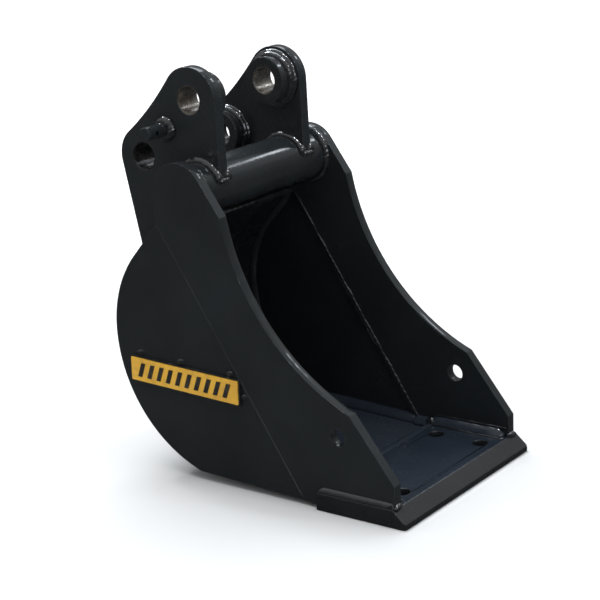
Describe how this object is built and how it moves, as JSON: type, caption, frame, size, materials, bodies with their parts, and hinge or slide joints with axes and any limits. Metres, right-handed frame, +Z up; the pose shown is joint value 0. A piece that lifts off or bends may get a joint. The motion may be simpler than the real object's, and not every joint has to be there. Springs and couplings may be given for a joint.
{
  "type": "excavator bucket",
  "caption": "Narrow excavator trenching bucket: curved shell, thick side plates, toothless bolt-on-ready cutting edge, cross tube and hanger ears.",
  "frame": {"origin": "on the ground plane, under the middle of the whole bucket's bounding box; the bottom of the cutting edge is at z = 0", "axes": "+X forward out of the mouth, towards the cutting edge's tip; +Y to the bucket's left; +Z up, towards the ears"},
  "size_m": [0.4032, 0.26, 0.471],
  "materials": {
    "bucket_paint": "gloss",
    "bore_steel": "machined",
    "badge_yellow": "satin",
    "badge_black": "satin"
  },
  "bodies": {
    "root": {"cutting_edge": "bucket_paint", "wrapper_plate": "bucket_paint", "cross_tube": "bucket_paint", "pin_keeper_stud": "bucket_paint", "badge_backing": "bucket_paint", "badge_plate": "badge_yellow", "badge_marks": "badge_black", "side_plate_front_left": "bucket_paint", "side_plate_front_right": "bucket_paint", "side_panel_rear_left": "bucket_paint", "side_panel_rear_right": "bucket_paint", "ear_plate_left": "bucket_paint", "ear_plate_right": "bucket_paint", "stick_pin_boss_left": "bucket_paint", "stick_pin_boss_right": "bucket_paint", "link_pin_boss_left": "bucket_paint", "link_pin_boss_right": "bucket_paint", "stick_pin_bush_left": "bore_steel", "stick_pin_bush_right": "bore_steel", "link_pin_bush_left": "bore_steel", "link_pin_bush_right": "bore_steel"}
  },
  "joints": []
}
